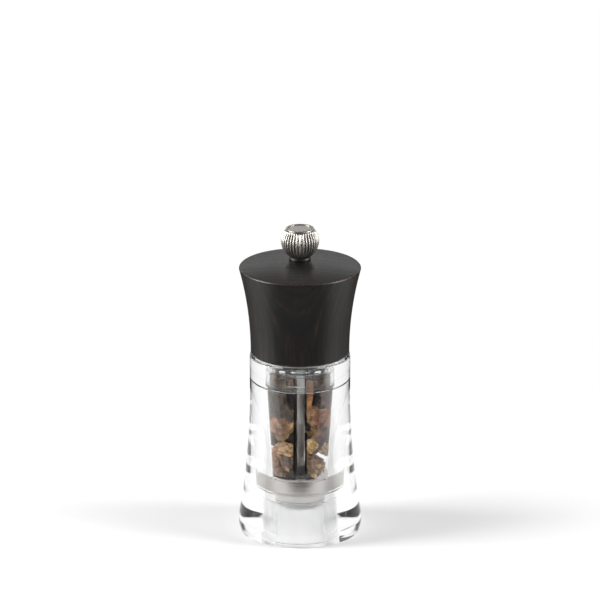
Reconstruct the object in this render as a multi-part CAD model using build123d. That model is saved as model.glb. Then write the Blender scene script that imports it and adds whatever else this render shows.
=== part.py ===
from build123d import *
import math
import os

# Pepper mill. Millimetres, +Z up, origin at the centre of the foot.
# Every radius and height below can be changed by itself; what mates with it follows.

# ---- clearances -------------------------------------------------------------
seat_gap = 0.05        # fixed pieces that sit in or on each other
face_gap = 0.05        # flat faces that slide on each other
running_gap = 0.06     # shaft in bush, thread in thread
loose_gap = 0.3        # pieces that lift out by hand

# ---- clear body -------------------------------------------------------------
foot_radius = 26.2
foot_edge = 0.5
crease_radius = 26.95
crease_height = 2.6
base_radius = 27.4
base_height = 6.2
neck_radius = 22.2
flare_top = 66.0
body_height = 81.7
body_rim = 0.8         # rounding of the body's top edges
mouth_radius = 10.9    # discharge mouth
band_bore_radius = 11.4
ledge_height = 19.8    # ledge that carries the grinder housing
seat_radius = 12.9
seat_height = 28.2     # top of the straight seat bore
neck_bore_radius = 15.4
neck_bore_depth = 12.7  # body's top down to the chamber
throat_step = 0.25     # the chamber's wide end is this much inside the neck bore

# ---- grinder housing and fixed ring ------------------------------------------
flange_height = 7.1
band_height = 3.1
bead_height = 0.7      # rolled bead along the flange's lower edge
housing_bore = 9.6
stator_top_bore = 8.9
stator_waist_bore = 7.95
stator_foot_bore = 8.75
waist_rise = 3.0       # the fine zone's height above the housing's foot
stator_teeth = 18
retaining_thickness = 1.0
retaining_bore = 11.2
retaining_slots = 8

# ---- bridge and bush ----------------------------------------------------------
bridge_wall = 0.8
bridge_rim = 0.8
bridge_depth = 5.6     # rim's top to the bottom of the dish
dish_gap = 0.2         # between the dish and the discharge mouth
hub_radius = 4.4
hub_web = 1.0
hub_height = 4.4       # dish bottom to the top of the web
spring_pocket = 3.6
window_inner = 5.4
window_outer = 9.9
window_angle = 62.0
bush_radius = 2.45
bush_flange_radius = 3.6
bush_flange = 0.45
washer_thickness = 0.3
spring_wire = 0.45
spring_radius = 2.85
spring_length = 2.0
spring_turns = 3
seat_thickness = 0.4
clip_thickness = 0.45

# ---- shaft and rotor ------------------------------------------------------------
shaft_side = 3.8
shaft_chamfer = 0.35
shaft_turn = 12.0      # degrees that the square is turned at rest
square_depth = 7.0     # how far the square goes down into the rotor
tail_radius = 1.85
tail_stub = 1.0        # tail left below the clip
groove_depth = 0.3
stud_radius = 1.85
stud_foot_depth = 4.6  # from the dome's top down to where the square ends
stud_length = 15.2
rotor_foot_radius = 7.9
rotor_waist_radius = 7.1
rotor_top_radius = 4.5
rotor_skirt = 0.4
rotor_height = 8.9
rotor_teeth = 9
rotor_lean = 30.0
pin_radius = 0.6
pin_depth = 2.1        # below the rotor's top
rotor_lift_up = 1.2    # finest setting
rotor_lift_down = 0.8  # coarsest setting

# ---- head -----------------------------------------------------------------------
glide_thickness = 0.5
glide_inner = 15.9
glide_outer = 20.4
head_bottom_radius = 21.8
head_bottom_edge = 0.9
head_top_radius = 26.95
head_height = 40.2     # head's foot to where the flare meets the domed top
head_top_edge = 0.6
dome_rise = 3.1
head_recess_depth = 4.0
head_bore = 3.4
ferrule_radius = 4.6
ferrule_bore = 2.9
ferrule_length = 6.0

# ---- drive insert ------------------------------------------------------------------
insert_skirt = 16.65   # insert's top down to its foot
insert_wall = 1.3
insert_web = 1.6
insert_web_depth = 9.25    # insert's top down to the web's foot
insert_boss = 3.6
insert_boss_drop = 4.6     # web's foot down to the boss's foot
insert_bore = 2.8
insert_bead = 0.25     # bead round the insert's foot
insert_windows = 4
window_width = 7.8
window_height = 4.2
window_rise = 2.2      # ring left under the windows
plate_side = 8.6
plate_thickness = 1.2
pillar_radius = 2.1
pillar_circle = 9.6
screw_radius = 1.0
screw_head_radius = 1.8
screw_head_height = 1.1
screw_length = 17.0
screw_count = 3

# ---- knob ---------------------------------------------------------------------------
collar_radius = 4.75
collar_height = 1.3
knob_foot_radius = 4.4
knob_radius = 8.45
knob_waist_height = 7.2
knob_lip_radius = 6.2
knob_height = 13.0
knob_recess_radius = 5.2
knob_recess_depth = 0.9
core_radius = 3.4
core_room = 0.4        # over the stud at the finest setting
lock_height = 1.6
cap_thickness = 0.55

# ---- filling ---------------------------------------------------------------------------
spice_room = 1.0       # top of the filling down from the chamber's wide end
spice_gap = 0.3
spice_core = 3.3       # room round the shaft

# ---- places worked out from the sizes ----------------------------------------------------
throat_radius = neck_bore_radius - throat_step
throat_height = body_height - neck_bore_depth
housing_foot = ledge_height - band_height
flange_foot = ledge_height
housing_top = flange_foot + flange_height
retaining_top = housing_top + seat_gap + retaining_thickness
bridge_top = housing_foot - seat_gap
bridge_ledge = bridge_top - bridge_rim - seat_gap
dish_bottom = bridge_top - bridge_depth
web_top = dish_bottom + hub_height
web_foot = web_top - hub_web
spring_foot = web_foot - face_gap - spring_length
seat_top = spring_foot - face_gap
clip_top = seat_top - seat_thickness - face_gap
clip_foot = clip_top - clip_thickness
tail_end = clip_foot - tail_stub
washer_foot = web_top + bush_flange + face_gap
rotor_foot = washer_foot + washer_thickness + rotor_lift_down + face_gap
rotor_top = rotor_foot + rotor_height
pin_height = rotor_top - pin_depth
shaft_foot = rotor_top - square_depth
glide_foot = body_height + face_gap
head_foot = glide_foot + glide_thickness + face_gap
head_edge_height = head_foot + head_height
recess_top = head_foot + head_recess_depth
head_apex = head_edge_height + dome_rise
shaft_top = head_apex - stud_foot_depth
stud_top = shaft_top + stud_length
insert_radius = neck_bore_radius - loose_gap
insert_inner = insert_radius - insert_wall
insert_top = recess_top - seat_gap
insert_foot = insert_top - insert_skirt
insert_web_height = insert_top - insert_web_depth
insert_boss_foot = insert_web_height - insert_boss_drop
collar_foot = head_apex + face_gap
collar_top = collar_foot + collar_height
knob_foot = collar_top + face_gap
knob_top = knob_foot + knob_height
spice_top = throat_height - spice_room
spice_foot = max(retaining_top, rotor_top + rotor_lift_up) + spice_gap
core_top = stud_top + rotor_lift_up + core_room


def turned(*edges):
    """Turn a closed outline, drawn as radius and height, round the Z axis."""
    return revolve(Plane.XZ * make_face(Curve() + list(edges)), Axis.Z)


def ring(inner, outer, foot, top):
    """A plain ring with square edges."""
    outline = Polyline((inner, foot), (outer, foot), (outer, top), (inner, top), (inner, foot))
    return turned(outline)


def rod(radius, foot, top, x=0.0, y=0.0):
    """An upright round bar."""
    return Pos(x, y, (foot + top) / 2) * Cylinder(radius, top - foot)


def square_bar(side, chamfered, foot, top):
    """An upright square bar, turned as the shaft stands at rest."""
    bar = Pos(0, 0, (foot + top) / 2) * Box(side, side, top - foot)
    if chamfered > 0:
        bar = chamfer(bar.edges().filter_by(Axis.Z), chamfered)
    return Rot(0, 0, shaft_turn) * bar


def around(radius, angle):
    """The point at a radius and an angle in degrees."""
    return (radius * math.cos(math.radians(angle)), radius * math.sin(math.radians(angle)))


def chamber_radius(height):
    """Radius of the tapered chamber at a height."""
    share = (height - seat_height) / (throat_height - seat_height)
    return seat_radius + share * (throat_radius - seat_radius)


def clear_body():
    """Acrylic body: chamfered foot, flared wall, stepped bore for the grinder, tapered chamber."""
    foot = Polyline(
        (mouth_radius + foot_edge, 0),
        (foot_radius - foot_edge, 0),
        (foot_radius, foot_edge),
        (crease_radius, crease_height),
    )
    heel = TangentArc((base_radius, base_height), (crease_radius, crease_height), tangent=(0, -1))
    flare = TangentArc((neck_radius, flare_top), (base_radius, base_height), tangent=(0, -1))
    neck = Polyline(
        (neck_radius, flare_top),
        (neck_radius, body_height - body_rim),
        (neck_radius - body_rim, body_height),
        (neck_bore_radius + body_rim / 2, body_height),
        (neck_bore_radius, body_height - body_rim / 2),
        (neck_bore_radius, throat_height + (neck_bore_radius - throat_radius)),
        (throat_radius, throat_height),
        (seat_radius, seat_height),
        (seat_radius, ledge_height),
        (band_bore_radius, ledge_height),
        (band_bore_radius, bridge_ledge),
        (mouth_radius, bridge_ledge),
        (mouth_radius, foot_edge),
        (mouth_radius + foot_edge, 0),
    )
    return turned(foot, heel, flare, neck)


def grinder_housing():
    """Stainless housing: wide flange on the ledge, a bead, and a narrower band below."""
    flange = seat_radius - seat_gap
    band = band_bore_radius - seat_gap
    lift = flange_foot + seat_gap
    outline = Polyline(
        (housing_bore, housing_foot),
        (band - 0.3, housing_foot),
        (band, housing_foot + 0.3),
        (band, lift),
        (flange, lift),
        (flange, lift + bead_height),
        (flange - 0.3, lift + bead_height + 0.3),
        (flange - 0.3, housing_top - 0.6),
        (flange, housing_top - 0.3),
        (flange, housing_top),
        (housing_bore, housing_top),
        (housing_bore, housing_foot),
    )
    return turned(outline)


def tooth_cutter(radius, foot, top, lean, width):
    """A leaning square bar that cuts one groove into a cone or a ring."""
    height = (top - foot) * 2.2
    bar = Rot(0, 0, 45) * Box(width, width, height)
    return Pos(radius, 0, (foot + top) / 2) * Rot(lean, 0, 0) * bar


def stator_ring():
    """Fixed grinding ring: narrow waist, flared top and foot, leaning grooves inside."""
    outer = housing_bore - seat_gap
    waist = housing_foot + waist_rise
    top = housing_top - 0.3
    blank = turned(
        Polyline(
            (stator_foot_bore, housing_foot),
            (outer, housing_foot),
            (outer, top),
            (stator_top_bore, top),
            (stator_waist_bore, waist),
            (stator_foot_bore, housing_foot),
        )
    )
    cutter = tooth_cutter(stator_waist_bore - 0.1, waist, top, rotor_lean, 1.1)
    return blank - [Rot(0, 0, i * 360 / stator_teeth) * cutter for i in range(stator_teeth)]


def retaining_ring():
    """Slotted ring pressed into the bore over the housing's flange."""
    outer = seat_radius - seat_gap
    foot = housing_top + seat_gap
    blank = ring(retaining_bore, outer, foot, retaining_top)
    slot_depth = (outer - retaining_bore) * 0.5
    middle = (foot + retaining_top) / 2
    slot = Pos(outer, 0, middle) * Box(2 * slot_depth, 1.2, 2 * retaining_thickness)
    return blank - [Rot(0, 0, i * 360 / retaining_slots) * slot for i in range(retaining_slots)]


def bridge_window(middle):
    """Upright cutter for one window, centred at an angle: a slice of a ring."""
    start = middle - window_angle / 2
    end = middle + window_angle / 2
    outline = [
        ThreePointArc(around(window_outer, start), around(window_outer, middle), around(window_outer, end)),
        Line(around(window_outer, end), around(window_inner, end)),
        ThreePointArc(around(window_inner, end), around(window_inner, middle), around(window_inner, start)),
        Line(around(window_inner, start), around(window_outer, start)),
    ]
    return Pos(0, 0, dish_bottom - 1) * extrude(make_face(outline), bridge_depth + 2)


def bottom_bridge():
    """Dished bridge hung under the housing, with a window each side and a raised hub for the bush."""
    rim = band_bore_radius - seat_gap
    rim_foot = bridge_top - bridge_rim
    lip = mouth_radius - dish_gap
    outside = TangentArc((hub_radius, dish_bottom), (lip, rim_foot), tangent=(1, 0))
    inside = TangentArc(
        (hub_radius, dish_bottom + bridge_wall), (lip - bridge_wall, bridge_top), tangent=(1, 0)
    )
    dish = turned(
        Polyline((hub_radius, dish_bottom + bridge_wall), (hub_radius, dish_bottom)),
        outside,
        Polyline((lip, rim_foot), (rim, rim_foot), (rim, bridge_top), (lip - bridge_wall, bridge_top)),
        inside,
    )
    dish = dish - [bridge_window(0), bridge_window(180)]
    hub = turned(
        Polyline(
            (spring_pocket, dish_bottom),
            (hub_radius + 0.4, dish_bottom),
            (hub_radius + 0.4, dish_bottom + bridge_wall),
            (hub_radius, dish_bottom + 2 * bridge_wall),
            (hub_radius, web_top),
            (bush_radius + seat_gap, web_top),
            (bush_radius + seat_gap, web_foot),
            (spring_pocket, web_foot),
            (spring_pocket, dish_bottom),
        )
    )
    return dish + hub


def thrust_bush():
    """Flanged bush that the shaft's round tail turns and slides in."""
    bore = tail_radius + running_gap
    top = web_top + bush_flange
    outline = Polyline(
        (bore, web_foot),
        (bush_radius, web_foot),
        (bush_radius, web_top + face_gap / 2),
        (bush_flange_radius, web_top + face_gap / 2),
        (bush_flange_radius, top),
        (bore, top),
        (bore, web_foot),
    )
    return turned(outline)


def thrust_washer():
    """Thin washer lying on the bush's flange."""
    bore = tail_radius + running_gap + 0.1
    return ring(bore, bush_flange_radius, washer_foot, washer_foot + washer_thickness)


def grind_spring():
    """Short coil spring between the bridge's web and the spring seat."""
    turns_foot = spring_foot + spring_wire / 2
    turns_length = spring_length - spring_wire
    path = Helix(turns_length / spring_turns, turns_length, spring_radius, center=(0, 0, turns_foot))
    section = Plane(path @ 0, z_dir=path % 0) * Circle(spring_wire / 2)
    return sweep(section, path=path, is_frenet=True)


def spring_seat():
    """Washer that the spring pushes down on; it rises and falls with the shaft but doesn't turn."""
    bore = tail_radius + running_gap
    return ring(bore, spring_pocket - loose_gap, seat_top - seat_thickness, seat_top)


def tail_clip():
    """Open clip in the shaft's lowest groove, under the spring seat."""
    outer = spring_pocket - 2 * loose_gap
    blank = ring(tail_radius - groove_depth + seat_gap, outer, clip_foot, clip_top)
    gap = Pos(outer / 2, 0, clip_top) * Box(outer, 2.0, 4 * clip_thickness)
    return blank - Rot(0, 0, shaft_turn) * gap


def cross_bar(radius, length):
    """A level round bar through the shaft at the rotor pin's height."""
    return Pos(0, 0, pin_height) * Rot(0, 0, shaft_turn) * Rot(0, 90, 0) * Cylinder(radius, length)


def square_shaft():
    """Square shaft with a round grooved tail and a round stud that carries the knob's thread."""
    bar = square_bar(shaft_side, shaft_chamfer, shaft_foot, shaft_top)
    tail = rod(tail_radius, tail_end, shaft_foot)
    groove = ring(
        tail_radius - groove_depth,
        tail_radius + 1,
        clip_foot - seat_gap,
        clip_top + seat_gap,
    )
    stud = rod(stud_radius, shaft_top, stud_top)
    stud = chamfer(stud.edges().sort_by(Axis.Z)[-1], 0.4)
    return bar + tail + stud - groove - cross_bar(pin_radius + running_gap / 2, 20)


def rotor_burr():
    """Grinding cone: a skirt, a fine zone, and a steeper top with leaning grooves."""
    waist = rotor_foot + waist_rise
    blank = turned(
        Polyline(
            (0, rotor_foot),
            (rotor_foot_radius, rotor_foot),
            (rotor_foot_radius, rotor_foot + rotor_skirt),
            (rotor_waist_radius, waist),
            (rotor_top_radius, rotor_top - 0.5),
            (rotor_top_radius - 0.5, rotor_top),
            (0, rotor_top),
            (0, rotor_foot),
        )
    )
    middle = (rotor_waist_radius + rotor_top_radius) / 2
    cutter = tooth_cutter(middle + 0.9, waist, rotor_top, -rotor_lean, 2.0)
    blank = blank - [Rot(0, 0, i * 360 / rotor_teeth) * cutter for i in range(rotor_teeth)]
    square_hole = square_bar(shaft_side + 2 * seat_gap, 0, shaft_foot - seat_gap, rotor_top + 1)
    round_hole = rod(tail_radius + seat_gap, rotor_foot - 1, shaft_foot)
    return blank - square_hole - round_hole - cross_bar(pin_radius + running_gap / 2, 20)


def rotor_pin():
    """Cross pin through the rotor's neck and the shaft."""
    return cross_bar(pin_radius, 2 * rotor_top_radius - 1.2)


def spice_charge():
    """The filling: one solid that keeps clear of the wall, the shaft and the grinder."""
    foot_wall = chamber_radius(max(spice_foot, seat_height))
    outline = Polyline(
        (spice_core, spice_foot),
        (foot_wall - spice_gap, spice_foot),
        (chamber_radius(spice_top) - spice_gap, spice_top),
        (spice_core, spice_top),
        (spice_core, spice_foot),
    )
    return turned(outline)


def glide_ring():
    """Thin ring that the head turns on."""
    return ring(glide_inner, glide_outer, glide_foot, glide_foot + glide_thickness)


def wood_head():
    """Turned head: concave flared side, low domed top, recess below, stepped bore."""
    side = TangentArc(
        (head_bottom_radius, head_foot + head_bottom_edge),
        (head_top_radius, head_edge_height - head_top_edge),
        tangent=(0, 1),
    )
    edge_in = head_top_radius - head_top_edge
    dome = ThreePointArc(
        (edge_in, head_edge_height),
        (edge_in / 2, head_edge_height + dome_rise * 0.75),
        (0, head_apex),
    )
    recess = neck_bore_radius - loose_gap + seat_gap
    blank = turned(
        Polyline(
            (0, recess_top),
            (recess, recess_top),
            (recess, head_foot),
            (head_bottom_radius - head_bottom_edge, head_foot),
            (head_bottom_radius, head_foot + head_bottom_edge),
        ),
        side,
        Polyline((head_top_radius, head_edge_height - head_top_edge), (edge_in, head_edge_height)),
        dome,
        Polyline((0, head_apex), (0, recess_top)),
    )
    bore = rod(head_bore, recess_top - 1, head_apex + 1)
    counterbore = rod(ferrule_radius + seat_gap, head_apex - ferrule_length - seat_gap, head_apex + 1)
    pilots = [
        rod(screw_radius + running_gap / 2, recess_top - 1, insert_web_height + screw_length + 0.6, x, y)
        for x, y in screw_places()
    ]
    return blank - bore - counterbore - pilots


def screw_places():
    """Centres of the insert's screws."""
    return [around(pillar_circle, 90 + i * 360 / screw_count) for i in range(screw_count)]


def drive_insert():
    """Clear insert: windowed skirt in the body's neck, web, boss round the shaft, screw pillars."""
    skirt = ring(insert_inner, insert_radius, insert_foot, insert_top)
    bead = ring(insert_inner, insert_radius + insert_bead, throat_height + 0.9, throat_height + 1.9)
    bead = bead - ring(0.1, insert_radius - 0.5, 0, 200)
    web = ring(insert_bore, insert_inner + 0.5, insert_web_height, insert_web_height + insert_web)
    boss = ring(insert_bore, insert_boss, insert_boss_foot, insert_web_height + 0.5)
    collar_outer = plate_side / 2 * math.sqrt(2) + 1.1
    collar = rod(collar_outer, insert_web_height, insert_web_height + insert_web + plate_thickness)
    pocket_foot = insert_web_height + insert_web - seat_gap
    pocket = Pos(0, 0, pocket_foot + plate_thickness) * Box(
        plate_side + 2 * seat_gap, plate_side + 2 * seat_gap, 2 * plate_thickness
    )
    collar = collar - rod(insert_bore, 0, 200) - pocket
    pillars = [
        rod(pillar_radius, insert_web_height + 0.5, insert_top, x, y) for x, y in screw_places()
    ]
    holes = [rod(screw_radius + 0.1, 0, 200, x, y) for x, y in screw_places()]
    window_middle = insert_foot + window_rise + window_height / 2
    window = Pos(insert_radius, 0, window_middle) * Box(4 * insert_wall, window_width, window_height)
    windows = [Rot(0, 0, 84 + i * 360 / insert_windows) * window for i in range(insert_windows)]
    return skirt + bead + web + boss + collar + pillars - holes - windows


def drive_plate():
    """Steel plate in the insert's pocket; its square hole turns the shaft."""
    foot = insert_web_height + insert_web
    plate = Pos(0, 0, foot + plate_thickness / 2) * Box(plate_side, plate_side, plate_thickness)
    return plate - square_bar(shaft_side + 2 * running_gap, 0, foot - 1, foot + plate_thickness + 1)


def insert_screws():
    """Pan-head screws up through the insert's pillars into the wood."""
    seat = insert_web_height - face_gap
    screws = []
    for x, y in screw_places():
        head = rod(screw_head_radius, seat - screw_head_height, seat, x, y)
        head = fillet(head.edges().sort_by(Axis.Z)[0], 0.4)
        shank = rod(screw_radius, seat, seat + screw_length, x, y)
        screws.append(head + shank)
    return Compound(children=screws)


def top_ferrule():
    """Bush in the head's top hole, under the collar."""
    return ring(ferrule_bore, ferrule_radius, head_apex - ferrule_length, head_apex - 0.1)


def knob_washer():
    """Dark collar between the head and the knob."""
    outline = Polyline(
        (stud_radius + 0.4, collar_foot),
        (collar_radius, collar_foot),
        (collar_radius, collar_top),
        (stud_radius + 0.4, collar_top),
        (stud_radius + 0.4, collar_foot),
    )
    return turned(outline)


def knob_shell():
    """Squashed ball with a lip round its top and a bore for the core."""
    waist = knob_foot + knob_waist_height
    lower = TangentArc((knob_radius, waist), (knob_foot_radius, knob_foot), tangent=(0, -1))
    upper = TangentArc((knob_radius, waist), (knob_lip_radius, knob_top - 0.2), tangent=(0, 1))
    bore = core_radius + seat_gap
    return turned(
        Polyline((bore, core_top + seat_gap), (bore, knob_foot), (knob_foot_radius, knob_foot)),
        lower,
        upper,
        Polyline(
            (knob_lip_radius, knob_top - 0.2),
            (knob_lip_radius - 0.2, knob_top),
            (knob_recess_radius, knob_top),
            (knob_recess_radius, knob_top - knob_recess_depth),
            (0, knob_top - knob_recess_depth),
            (0, core_top + seat_gap),
            (bore, core_top + seat_gap),
        ),
    )


def knob_core():
    """Brass core; its bore is the thread's root, shown plain."""
    bore = stud_radius + running_gap
    lock_foot = knob_foot + 1.0
    lock_top = lock_foot + lock_height
    return turned(
        Polyline(
            (bore, knob_foot),
            (core_radius, knob_foot),
            (core_radius, core_top),
            (bore, core_top),
            (bore, lock_top),
            (core_radius - 0.5, lock_top),
            (core_radius - 0.5, lock_foot),
            (bore, lock_foot),
            (bore, knob_foot),
        )
    )


def lock_ring():
    """Nylon ring in the core's groove that grips the thread, so the setting stays."""
    lock_foot = knob_foot + 1.0
    return ring(
        stud_radius + running_gap / 2,
        core_radius - 0.5 - seat_gap,
        lock_foot + seat_gap,
        lock_foot + lock_height - seat_gap,
    )


def knob_cap():
    """Bare disc in the knob's top."""
    foot = knob_top - knob_recess_depth + seat_gap
    return rod(knob_recess_radius - seat_gap, foot, foot + cap_thickness)


PIECES = [
    clear_body,
    grinder_housing,
    stator_ring,
    retaining_ring,
    bottom_bridge,
    thrust_bush,
    thrust_washer,
    spice_charge,
    spring_seat,
    grind_spring,
    square_shaft,
    rotor_burr,
    rotor_pin,
    tail_clip,
    glide_ring,
    wood_head,
    drive_insert,
    drive_plate,
    insert_screws,
    top_ferrule,
    knob_washer,
    knob_shell,
    knob_core,
    lock_ring,
    knob_cap,
]

os.makedirs("parts", exist_ok=True)
for piece in PIECES:
    export_step(piece(), f"parts/{piece.__name__}.step")
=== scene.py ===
# %% [markdown]
# # A hand pepper mill
# The mill is a thick clear body with a steel grinder in its foot, a turned and stained wooden head, and a
# fluted metal knob. Turning the head turns the square shaft and the grinding cone; turning the knob lifts or
# lowers the cone. The construction arrives as plain nodes. This script gives each surface its finish, and
# makes a finer mesh wherever the plain one would look faceted or bare.

# %% Load the frame
import math
import random

import bmesh
import bpy
from mathutils import Matrix, Vector, noise


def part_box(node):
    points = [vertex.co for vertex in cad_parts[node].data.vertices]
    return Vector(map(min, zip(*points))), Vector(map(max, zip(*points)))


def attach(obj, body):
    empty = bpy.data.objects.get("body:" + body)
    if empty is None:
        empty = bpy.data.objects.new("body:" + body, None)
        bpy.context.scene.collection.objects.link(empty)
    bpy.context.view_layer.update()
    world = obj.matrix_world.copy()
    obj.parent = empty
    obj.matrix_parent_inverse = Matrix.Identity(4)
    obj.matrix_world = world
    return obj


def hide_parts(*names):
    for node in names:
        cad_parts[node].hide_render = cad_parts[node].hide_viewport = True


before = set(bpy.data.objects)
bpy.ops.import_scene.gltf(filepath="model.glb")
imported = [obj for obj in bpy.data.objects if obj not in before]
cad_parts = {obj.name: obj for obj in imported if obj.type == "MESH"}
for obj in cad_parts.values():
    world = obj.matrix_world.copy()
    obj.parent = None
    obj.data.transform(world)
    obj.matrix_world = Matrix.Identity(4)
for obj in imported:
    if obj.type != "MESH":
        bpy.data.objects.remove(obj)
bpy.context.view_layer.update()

# %% [markdown]
# ## Sizes
# A turned piece needs only its outer radius, its foot and its top, and all three are in the box of its node.
# Sizes inside a piece, which a box can't tell, are named where the piece is made. All of them are in
# millimetres, and MM turns them into Blender's metres.

# %% Read a turned node's size
MM = 0.001


def span(node):
    """Outer radius, foot and top of a turned CAD node, in millimetres."""
    low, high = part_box(node)
    return min(high.x, high.y) / MM, low.z / MM, high.z / MM


def polar(point):
    """A point's distance from the axis and height, in millimetres, and its angle round the axis."""
    return math.hypot(point.x, point.y) / MM, point.z / MM, math.atan2(point.y, point.x)


base_radius, _, body_top = span("clear_body")
head_radius, head_foot, head_apex = span("wood_head")
print(f"body {body_top:.1f} mm tall, head {head_foot:.1f} to {head_apex:.1f} mm")

# %% [markdown]
# ## Turning a piece
# Almost everything here is turned on a lathe, and one helper does the same: it takes an outline of radius and
# height, rounds the outline's sharp corners with a vertex bevel, and spins it about Z. Real edges are never
# perfectly sharp, and the small rounding catches the light. An outline that starts and ends on the axis
# closes by itself; any other is joined end to start, which makes a ring.

# %% Spin an outline into a closed mesh
ROUND = 192


def is_corner(vertex, least=math.radians(22)):
    """Whether an outline turns sharply at a vertex."""
    if len(vertex.link_edges) != 2:
        return False
    before, after = (edge.other_vert(vertex).co - vertex.co for edge in vertex.link_edges)
    return math.pi - before.angle(after) > least


def turned(outline, rounding=0.0, steps=ROUND):
    """A closed bmesh from an outline of (radius, height) pairs in millimetres."""
    bm = bmesh.new()
    points = [bm.verts.new((radius * MM, 0, height * MM)) for radius, height in outline]
    for pair in zip(points, points[1:]):
        bm.edges.new(pair)
    if outline[0][0] > 0 or outline[-1][0] > 0:
        bm.edges.new((points[-1], points[0]))
    if rounding > 0:
        corners = [vertex for vertex in bm.verts if is_corner(vertex)]
        bmesh.ops.bevel(
            bm, geom=corners, offset=rounding * MM, segments=3, profile=0.5,
            affect="VERTICES", material=-1,
        )
    bmesh.ops.spin(
        bm, geom=bm.verts[:] + bm.edges[:], cent=(0, 0, 0), axis=(0, 0, 1),
        angle=math.tau, steps=steps, use_merge=True,
    )
    bmesh.ops.remove_doubles(bm, verts=bm.verts, dist=1e-7)
    bmesh.ops.recalc_face_normals(bm, faces=bm.faces)
    return bm


def plain_ring(inner, outer, foot, top):
    """The outline of a square-cut ring, or of a disc if its inner radius is nothing."""
    return [(inner, foot), (outer, foot), (outer, top), (inner, top)]


def flare(start, end, steps):
    """Points after start on the arc that leaves start upright and ends at end."""
    rise = end[1] - start[1]
    out = end[0] - start[0]
    radius = (rise**2 + out**2) / (2 * abs(out))
    full = math.asin(min(1.0, abs(rise) / radius))
    if abs(out) > radius:
        full = math.pi - full
    points = []
    for step in range(1, steps + 1):
        turn = full * step / steps
        across = math.copysign(radius * (1 - math.cos(turn)), out)
        up = math.copysign(radius * math.sin(turn), rise)
        points.append((start[0] + across, start[1] + up))
    return points


# %% [markdown]
# ## Handing a piece over
# A finished mesh becomes an object at the origin, with its place in its vertices. It rides on a body, takes a
# material slot, and stands for a plain node. Faces are shaded smooth except across sharp edges, and a
# weighted-normal modifier keeps wide flat faces flat where they meet a small rounding.

# %% Make an object of a mesh
def merge(target, source):
    """Add one bmesh's geometry to another and free it."""
    scratch = bpy.data.meshes.new("scratch")
    source.to_mesh(scratch)
    source.free()
    target.from_mesh(scratch)
    bpy.data.meshes.remove(scratch)
    return target


def hand_over(name, bm, body, slot, material, stands_for=(), crisp=32, even=True):
    """Turn a bmesh into a named piece that rides on a body."""
    for face in bm.faces:
        face.smooth = True
    for edge in bm.edges:
        if len(edge.link_faces) == 2 and edge.calc_face_angle() > math.radians(crisp):
            edge.smooth = False
    mesh = bpy.data.meshes.new(name)
    bm.to_mesh(mesh)
    bm.free()
    mesh.materials.append(material)
    thing = bpy.data.objects.new(name, mesh)
    bpy.context.scene.collection.objects.link(thing)
    if even:
        shading = thing.modifiers.new("even_shading", "WEIGHTED_NORMAL")
        shading.keep_sharp = True
    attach(thing, body)
    if stands_for:
        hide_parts(*stands_for)
    print(f"{name}: {len(mesh.polygons)} faces on {body}")
    return thing


# %% [markdown]
# ## Shader sums as Python
# A finish is easier to read as arithmetic than as boxes and wires. `Value` wraps one output socket, and each
# sum with it adds the Math node that does it. `Finish` holds one material; its `node` method makes the rest.

# %% A socket that understands arithmetic
def operator(operation, swapped=False):
    """A method that adds one Math node; swapped puts the other value first, for a number before the sign."""
    def method(self, other=0.0):
        return self.finish.sum(operation, *((other, self) if swapped else (self, other)))
    return method


class Value:
    """One output socket of a material; sums with it become Math nodes."""

    def __init__(self, finish, socket):
        self.finish = finish
        self.socket = socket

    __add__ = __radd__ = operator("ADD")
    __mul__ = __rmul__ = operator("MULTIPLY")
    __sub__ = operator("SUBTRACT")
    __rsub__ = operator("SUBTRACT", swapped=True)
    __truediv__ = operator("DIVIDE")
    __pow__ = operator("POWER")
    __abs__ = operator("ABSOLUTE")

    def clamped(self):
        """The value held between 0 and 1."""
        return self.finish.node("ShaderNodeMath", {"operation": "ADD", "use_clamp": True}, {0: self, 1: 0.0})


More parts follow.
